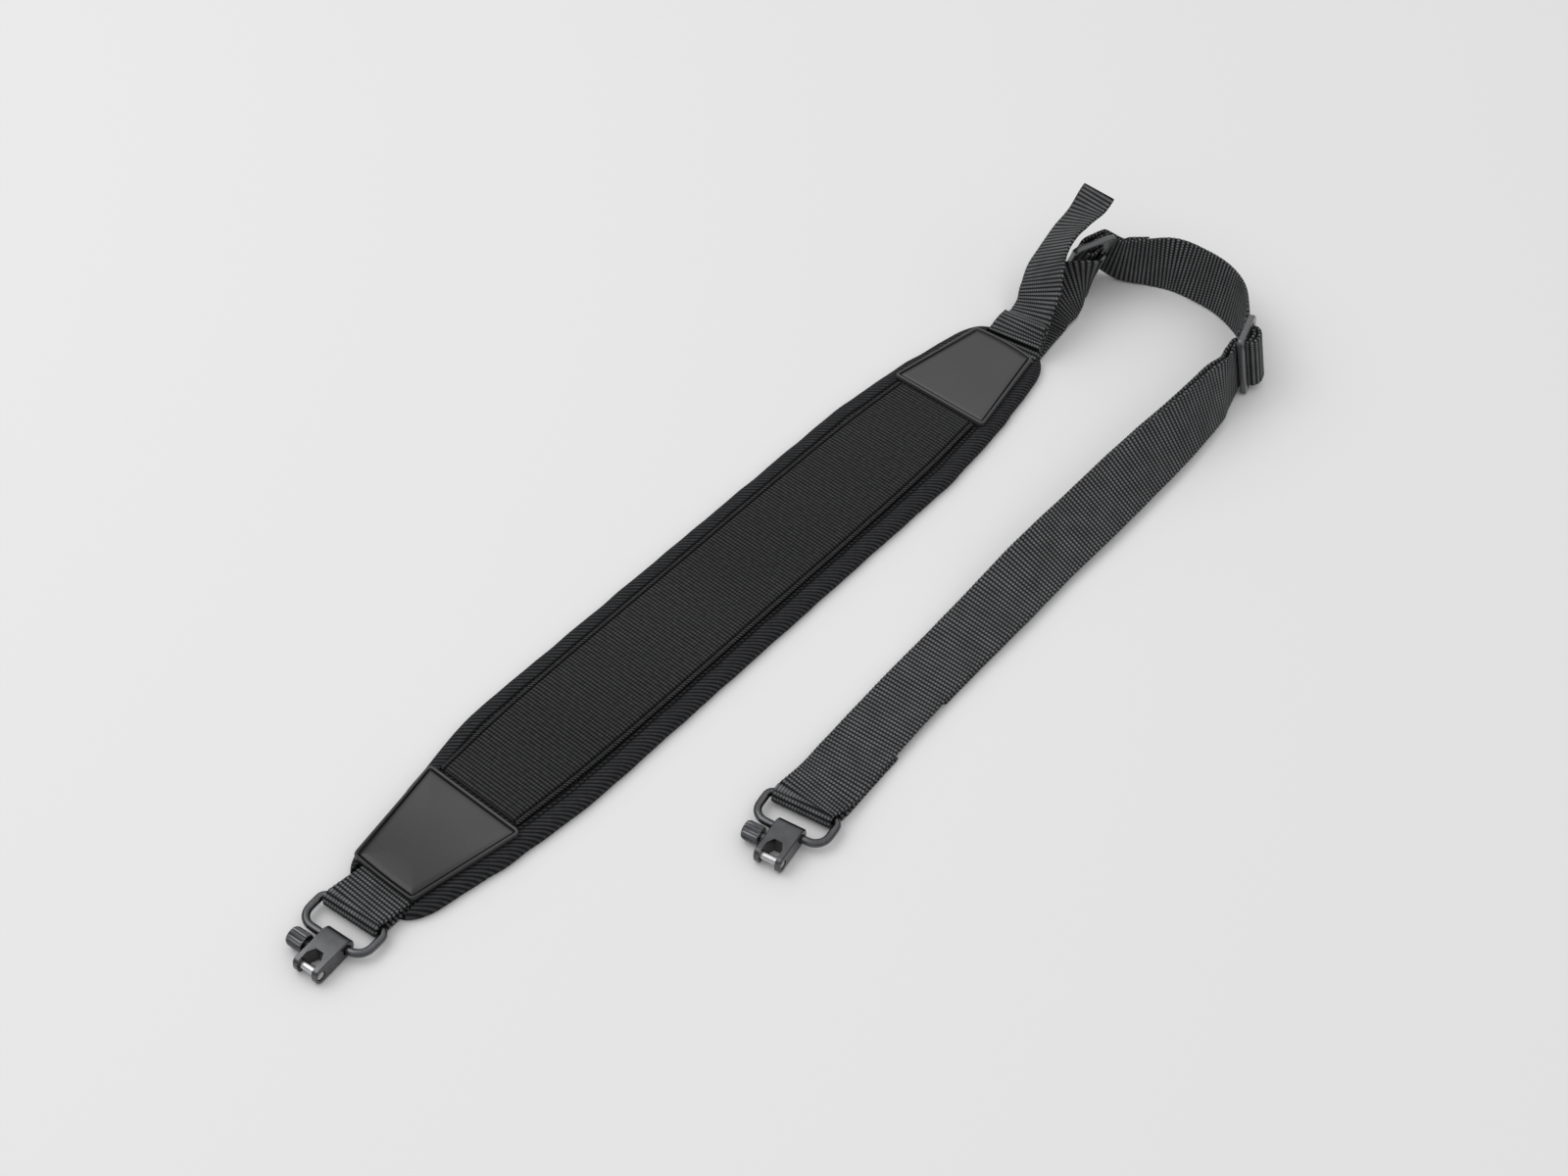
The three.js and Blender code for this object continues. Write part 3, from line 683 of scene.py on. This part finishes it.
def under_run():
    """The second layer: under the long run, then round the strap slider's middle bar."""
    above = flow(route_stations([row for row in LONG_ROUTE if row[0] >= UNDER_START]))
    near, far = UNDER_SPREAD

    def below(point):
        share = (max(point.x, near) - near) / (far - near)
        return -(UNDER_NEAR + share * (UNDER_FAR - UNDER_NEAR))

    back = layer(above, below)
    # Every fourth station and the last are enough for its smooth curve
    kept = [s for i, s in enumerate(back) if i % 4 == 0 or i == len(back) - 1]
    return fine([*[(p, edge, wide) for p, edge, face, wide in kept], *thread_stations(LADDER, UNDER_THREAD)])


# ---- pad and patches ----
def smooth_share(rows, at):
    """The rows' second value at a place among their first values, eased through each row."""
    at = min(max(at, rows[0][0]), rows[-1][0])
    i = max(k for k in range(len(rows) - 1) if rows[k][0] <= at)
    (x1, y1), (x2, y2) = rows[i], rows[i + 1]
    x0, y0 = rows[max(i - 1, 0)]
    x3, y3 = rows[min(i + 2, len(rows) - 1)]
    w = (at - x1) / (x2 - x1)
    m1 = (y2 - y0) / (x2 - x0) * (x2 - x1)
    m2 = (y3 - y1) / (x3 - x1) * (x2 - x1)
    start = (2 * w**3 - 3 * w**2 + 1) * y1 + (w**3 - 2 * w**2 + w) * m1
    return start + (3 * w**2 - 2 * w**3) * y2 + (w**3 - w**2) * m2


def wrinkle(x, y, z):
    """Height of the low creases in the border's upper side, which run another way on each side of the pad."""
    if z <= 0.5 * PAD_T or abs(y) <= BORDER_FROM:
        return 0
    return WRINKLE * math.sin(x / 3.7 + y * 0.5 if y > 0 else x / 3.1 + y * 0.5 + 2)


def pad_rings():
    """Rings across the pad, closer together at its ends, and the marks for its cloth."""
    rings, rows = [], []
    steps, end_crowding = 360, 0.35
    for k in range(steps + 1):
        share = -math.cos(math.pi * k / steps) * end_crowding + (2 * k / steps - 1) * (1 - end_crowding)
        x = share * PAD_HALF_L
        half = smooth_share(PAD_OUTLINE, abs(share)) * PAD_HALF_W
        # The sewn edge wanders a little in and out
        half += 0.08 * math.sin(x / 4.9) + 0.05 * math.sin(x / 2.3 + 1)
        near = min(max((-x - TUCK_FROM) / (TUCK_TO - TUCK_FROM), 0), 1)
        drawn = 1 - FRONT_TUCK * near * near * (3 - 2 * near) / half
        left = [(half - min(inset, half * 0.8), PAD_T * rise) for inset, rise in PAD_SECTION]
        left += [(half * 0.45, PAD_T), (0, PAD_T)]
        across = left + [(-y, z) for y, z in left[-2::-1]]
        rings.append([(x, y * drawn if y > 0 else y, z + wrinkle(x, y, z)) for y, z in across])
        rows.append([(y, x, half - abs(y)) for y, z in across])
    return rings, rows


def cut_notches(piece):
    """The two ends opened for the webbing, with a boolean whose result is kept."""
    size = Vector((NOTCH_L + NOTCH_OVER, WEB_W + 7 * GAP, PAD_T * 2))
    for direction in (-1, 1):
        bm = bmesh.new()
        bmesh.ops.create_cube(bm, size=1.0)
        bmesh.ops.scale(bm, vec=size * MM, verts=bm.verts[:])
        at = Vector((direction * (PAD_HALF_L - NOTCH_L + size.x / 2), TAB_Y, NOTCH_FLOOR + PAD_T))
        bmesh.ops.translate(bm, vec=at * MM + MIDDLE, verts=bm.verts[:])
        cutter = placed("cutter", mesh_from(bm, "cutter"))
        cut = piece.modifiers.new("notch", "BOOLEAN")
        cut.operation = "DIFFERENCE"
        cut.solver = "EXACT"
        cut.object = cutter
        bpy.context.view_layer.update()
        whole = bpy.data.meshes.new_from_object(piece.evaluated_get(bpy.context.evaluated_depsgraph_get()))
        piece.modifiers.clear()
        piece.data = whole
        bpy.data.objects.remove(cutter)
    return piece


def panel_rings():
    """Rings across the panel, lower at its two ends, and the marks for its ribs."""
    rings, rows = [], []
    low = PAD_T + GAP
    steps, end_slope_l, end_height = 120, 3, 0.75
    for k in range(steps + 1):
        share = 2 * k / steps - 1
        x = share * PANEL_HALF_L
        width = smooth_share(PANEL_ROWS, share) * PANEL_HALF_W
        end = min(1.0, (1 - abs(share)) * PANEL_HALF_L / end_slope_l + end_height)
        half = [(width - inset, low + PANEL_T * rise * end) for inset, rise in PANEL_SECTION]
        half += [(0, low + PANEL_T * end)]
        tag = [PANEL_HALF_W - inset for inset, rise in PANEL_SECTION] + [0]
        rings.append([(x, y, z) for y, z in half] + [(x, -y, z) for y, z in half[-2::-1]])
        rows.append([(t, x, 0) for t in tag] + [(-t, x, 0) for t in tag[-2::-1]])
    return rings, rows


def corner_points(direction, inset, bow):
    """The patch's outline as points, with rounded corners and a bowed far edge."""
    near, far = PATCH_NEAR + inset, PATCH_FAR - inset
    near_half, far_half = PATCH_NEAR_W / 2 - inset, PATCH_FAR_W / 2 - inset
    r = max(PATCH_CORNER_LEAST, PATCH_CORNER - inset)
    corner_steps, side_steps = 6, 12
    corners = [Vector(c) for c in ((near, -near_half), (far, -far_half), (far, far_half), (near, near_half))]
    points = []
    for i, corner in enumerate(corners):
        before, after = corners[i - 1], corners[(i + 1) % 4]
        start = corner + (before - corner).normalized() * r
        stop = corner + (after - corner).normalized() * r
        for k in range(corner_steps + 1):
            t = k / corner_steps
            points.append(start * (1 - t) ** 2 + corner * 2 * t * (1 - t) + stop * t * t)
        onward = after + (corner - after).normalized() * r
        for k in range(1, side_steps):
            t = k / side_steps
            point = stop.lerp(onward, t)
            if i == 1:
                point.x += bow * 2 * t * (1 - t)
            points.append(point)
    return [(direction * p.x, p.y) for p in points]


def patch(name, node, direction, bow):
    """A patch from one outline, extruded and inset ring by ring."""
    bm = bmesh.new()
    mark = bm.verts.layers.float.new("groove")
    bmesh.ops.create_circle(bm, segments=len(corner_points(direction, 0, bow)), radius=1.0, cap_ends=False)
    ring, edges = bm.verts[:], bm.edges[:]
    for step, (inset, height, pressed) in enumerate(PATCH_STEPS):
        if step:
            made = bmesh.ops.extrude_edge_only(bm, edges=edges)["geom"]
            fresh = {g for g in made if isinstance(g, bmesh.types.BMVert)}
            edges = [g for g in made if isinstance(g, bmesh.types.BMEdge) and fresh.issuperset(g.verts)]
            ring = [next(e.other_vert(v) for e in v.link_edges if e.other_vert(v) in fresh) for v in ring]
        for vert, (x, y) in zip(ring, corner_points(direction, inset, bow)):
            vert.co = Vector((x, y, PAD_T + GAP + height)) * MM + MIDDLE
            vert[mark] = float(pressed)
    bmesh.ops.holes_fill(bm, edges=[e for e in bm.edges if e.is_boundary], sides=0)
    bmesh.ops.recalc_face_normals(bm, faces=bm.faces[:])
    piece = finished(bm, name, "soft_leather", 60)
    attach(piece, "sling")
    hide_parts(node)


# ---- hard pieces ----
def slider(name, node, plate, wider):
    """A slider with two slots: a grid of cells, its slots opened, given its thickness and rounded. One of its
    outer bars is wider towards its top and stands a little out of the plate."""
    bm = bmesh.new()
    half_w, half_l, half_slot = SLIDER_W / 2, SLIDER_L / 2, SLIDER_SLOT_L / 2
    rim, inner = half_w - SLIDER_BAR, SLIDER_BAR / 2
    xs = [-half_w, -rim, -inner, inner, rim, half_w]
    ys = [-half_l, *(half_slot * share for share in (-1, -0.62, -0.24, 0.24, 0.62, 1)), half_l]
    cells_x, cells_y = len(xs) - 1, len(ys) - 1
    bmesh.ops.create_grid(bm, x_segments=cells_x, y_segments=cells_y, size=1.0)
    for vert in bm.verts:
        vert.co.x = xs[round((vert.co.x + 1) / 2 * cells_x)]
        vert.co.y = ys[round((vert.co.y + 1) / 2 * cells_y)]
    for low, high in ((-rim, -inner), (inner, rim)):
        middles = [(f, f.calc_center_median()) for f in bm.faces]
        inside = [f for f, middle in middles if low < middle.x < high and abs(middle.y) < half_slot]
        bmesh.ops.delete(bm, geom=inside, context="FACES")
    grown = bmesh.ops.extrude_face_region(bm, geom=bm.faces[:])
    lifted = [g for g in grown["geom"] if isinstance(g, bmesh.types.BMVert)]
    bmesh.ops.translate(bm, vec=(0, 0, SLIDER_T), verts=lifted)
    bmesh.ops.translate(bm, vec=(0, 0, -SLIDER_T / 2), verts=bm.verts[:])
    bmesh.ops.recalc_face_normals(bm, faces=bm.faces[:])
    at_corner = {v for v in bm.verts if abs(v.co.x) > half_w - 0.1 and abs(v.co.y) > half_l - 0.1}
    posts = [e for e in bm.edges if abs(e.verts[0].co.z - e.verts[1].co.z) > 1 and at_corner.issuperset(e.verts)]
    bmesh.ops.bevel(bm, geom=posts, offset=SLIDER_CORNER, segments=5, affect="EDGES", profile=0.5, material=-1)
    sharp = [e for e in bm.edges if len(e.link_faces) == 2 and e.calc_face_angle(0) > math.radians(50)]
    bmesh.ops.bevel(bm, geom=sharp, offset=SLIDER_EDGE, segments=3, affect="EDGES", profile=0.5, material=-1)
    # The wider bar grows towards its top and is arched out of the plate
    for vert in bm.verts:
        share = max(0, (vert.co.x - rim) / SLIDER_BAR)
        vert.co.x += wider * share * (0.45 + 0.55 * vert.co.y / half_l)
        vert.co.z += wider * 0.35 * share * (1 - (vert.co.y / half_l) ** 2)
    at, bar, along, out = plate_frame(plate)
    turn = Matrix((along, bar, out)).transposed().to_4x4()
    bmesh.ops.transform(bm, matrix=Matrix.Translation(at) @ turn, verts=bm.verts[:])
    bmesh.ops.scale(bm, vec=(MM, MM, MM), verts=bm.verts[:])
    bmesh.ops.translate(bm, vec=MIDDLE, verts=bm.verts[:])
    piece = finished(bm, name, "glossy_plastic", 35)
    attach(piece, "sling")
    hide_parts(node)


def polished(name, node, slot_name, body, edge_width, smooth_levels=0, sharp=30):
    """A CAD solid's own shape with its loose triangles joined and its edges rounded."""
    bm = bmesh.new()
    bm.from_mesh(bpy.data.objects[node].data)
    bmesh.ops.remove_doubles(bm, verts=bm.verts[:], dist=2e-6)
    if edge_width:
        bmesh.ops.dissolve_limit(bm, angle_limit=math.radians(3), verts=bm.verts[:], edges=bm.edges[:])
    piece = finished(bm, name, slot_name, sharp)
    if edge_width:
        round_off = piece.modifiers.new("edges", "BEVEL")
        round_off.width = edge_width
        round_off.segments = 2
        round_off.limit_method = "ANGLE"
        round_off.angle_limit = math.radians(sharp)
        round_off.use_clamp_overlap = True
    if smooth_levels:
        smooth = piece.modifiers.new("smooth", "SUBSURF")
        smooth.levels = smooth.render_levels = smooth_levels
    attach(piece, body)
    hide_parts(node)


# ---- stage ----
def aim(thing, at, ahead):
    """Puts a camera or a lamp at a place, level and facing ahead."""
    ahead = Vector(ahead).normalized()
    right = ahead.cross(Vector((0, 0, 1))).normalized()
    up = right.cross(ahead)
    thing.matrix_world = Matrix.Translation(at) @ Matrix((right, up, -ahead)).transposed().to_4x4()


def pale_floor(color):
    """A plain floor, hardly uneven in colour."""
    bm = bmesh.new()
    bmesh.ops.create_grid(bm, x_segments=8, y_segments=8, size=FLOOR_HALF)
    floor = placed("floor", mesh_from(bm, "floor"))
    finish = Finish("floor_paint")
    shade = finish.blend(finish.noise(finish.place(), 3.0), scaled(color, 0.995), color)
    finish.put(Base_Color=shade, Roughness=1.0, Specular_IOR_Level=0.0)
    floor.data.materials.append(finish.material)
    return floor


def soft_sky(strength):
    """Light from all round, fading from above to the horizon."""
    world = bpy.data.worlds.new("sky")
    world.use_nodes = True
    tree = world.node_tree
    back = tree.nodes["Background"]
    back.inputs[1].default_value = strength
    place = tree.nodes.new("ShaderNodeTexCoord")
    split = tree.nodes.new("ShaderNodeSeparateXYZ")
    ramp = tree.nodes.new("ShaderNodeValToRGB")
    for element, (height, color) in zip(ramp.color_ramp.elements, SKY_STOPS):
        element.position, element.color = height, color
    tree.links.new(place.outputs["Generated"], split.inputs[0])
    tree.links.new(split.outputs[2], ramp.inputs[0])
    tree.links.new(ramp.outputs[0], back.inputs[0])
    return world


# ---- operators ----
class SLING_OT_pad(bpy.types.Operator):
    """Make the cushion and its ribbed panel"""

    bl_idname = "sling.pad"
    bl_label = "Pad"

    def execute(self, context):
        rings, rows = pad_rings()
        cover = cut_notches(bent_grid("pad_cover", rings, rows, "twill_cloth"))
        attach(cover, "sling")
        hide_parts("pad_body")
        rings, rows = panel_rings()
        panel = bent_grid("ribbed_panel", rings, rows, "ribbed_cloth")
        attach(panel, "sling")
        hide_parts("pad_panel")
        return {"FINISHED"}


class SLING_OT_patches(bpy.types.Operator):
    """Make the two end patches"""

    bl_idname = "sling.patches"
    bl_label = "End patches"

    def execute(self, context):
        patch("front_leather", "front_patch", -1, 0.6)
        patch("rear_leather", "rear_patch", 1, 1.6)
        return {"FINISHED"}


class SLING_OT_webbing(bpy.types.Operator):
    """Make the runs of webbing"""

    bl_idname = "sling.webbing"
    bl_label = "Webbing"

    def execute(self, context):
        tail = fine(route_stations(TAIL_ROUTE))
        keeper = layer([s for s in tail if KEEPER_X[0] < s[0].x < KEEPER_X[1]], lambda p: WEB_T + 2 * GAP)
        rear = fine([*route_stations(REAR_ROUTE), *thread_stations(BUCKLE, REAR_THREAD)])
        webbing_piece("tab_webbing", "front_tab", tab_run())
        webbing_piece("rear_webbing", "rear_tab", rear)
        webbing_piece("keeper_webbing", "rear_keeper", keeper, cut_shows=True)
        webbing_piece("tail_webbing", "loose_tail", tail)
        webbing_piece("long_webbing", "main_strap", main_run())
        webbing_piece("second_webbing", "under_strap", under_run())
        return {"FINISHED"}


class SLING_OT_sliders(bpy.types.Operator):
    """Make the two plastic sliders"""

    bl_idname = "sling.sliders"
    bl_label = "Sliders"

    def execute(self, context):
        slider("rear_buckle", "rear_slider", BUCKLE, 3.0)
        slider("ladder_buckle", "strap_slider", LADDER, 0.0)
        return {"FINISHED"}


class SLING_OT_swivels(bpy.types.Operator):
    """Make the two swivels"""

    bl_idname = "sling.swivels"
    bl_label = "Swivels"

    def execute(self, context):
        edge = context.scene.sling_hardware.edge
        for side in ("front", "long"):
            polished(side + "_wire", side + "_wire_loop", "dark_steel", side + "_wire", 0, 1, 60)
            polished(side + "_block", side + "_swivel_block", "dark_steel", side + "_swivel", edge)
            polished(side + "_pin", side + "_cross_pin", "bright_steel", side + "_swivel", 0, 0, 40)
            polished(side + "_thumb_knob", side + "_knob", "dark_steel", side + "_plunger", edge * 0.4, 0, 24)
        return {"FINISHED"}


class SLING_OT_stage(bpy.types.Operator):
    """Make the floor, the light and the camera"""

    bl_idname = "sling.stage"
    bl_label = "Stage"

    def execute(self, context):
        look = context.scene.sling_stage
        pale_floor(look.floor)
        context.scene.world = soft_sky(look.sky)
        lamp = bpy.data.lights.new("softbox", "AREA")
        lamp.shape = "RECTANGLE"
        lamp.size, lamp.size_y = LAMP_SIZE
        lamp.energy = look.lamp
        aim(placed("softbox", lamp), Vector(LAMP_AT), LAMP_AHEAD)
        view = bpy.data.cameras.new("camera")
        view.lens = LENS
        view.sensor_width = SENSOR
        view.clip_start = 0.01
        camera = placed("camera", view)
        aim(camera, Vector(CAMERA_AT) * MM + MIDDLE, CAMERA_AHEAD)
        context.scene.camera = camera
        context.scene.view_settings.view_transform = "Standard"
        return {"FINISHED"}


class SLING_PT_panel(bpy.types.Panel):
    """Every size and colour, and a button for each step"""

    bl_idname = "SLING_PT_panel"
    bl_label = "Padded sling"
    bl_space_type = "VIEW_3D"
    bl_region_type = "UI"
    bl_category = "Sling"

    def draw(self, context):
        for settings in GROUPS:
            group = getattr(context.scene, settings)
            for key in group.__annotations__:
                self.layout.prop(group, key)
        for step in STEPS:
            self.layout.operator(step)


# ---- add-on ----
STEPS = ("sling.stage", "sling.pad", "sling.patches", "sling.webbing", "sling.sliders", "sling.swivels")
CLASSES = (
    PadSettings, StrapSettings, HardwareSettings, StageSettings, SLING_OT_stage, SLING_OT_pad, SLING_OT_patches,
    SLING_OT_webbing, SLING_OT_sliders, SLING_OT_swivels, SLING_PT_panel,
)
GROUPS = {
    "sling_pad": PadSettings, "sling_strap": StrapSettings, "sling_hardware": HardwareSettings,
    "sling_stage": StageSettings,
}


def register():
    for known in CLASSES:
        bpy.utils.register_class(known)
    for name, group in GROUPS.items():
        setattr(bpy.types.Scene, name, PointerProperty(type=group))


def unregister():
    for name in GROUPS:
        delattr(bpy.types.Scene, name)
    for known in reversed(CLASSES):
        bpy.utils.unregister_class(known)


def main():
    register()
    bpy.ops.sling.stage()
    bpy.ops.sling.pad()
    bpy.ops.sling.patches()
    bpy.ops.sling.webbing()
    bpy.ops.sling.sliders()
    bpy.ops.sling.swivels()


if __name__ == "__main__":
    main()
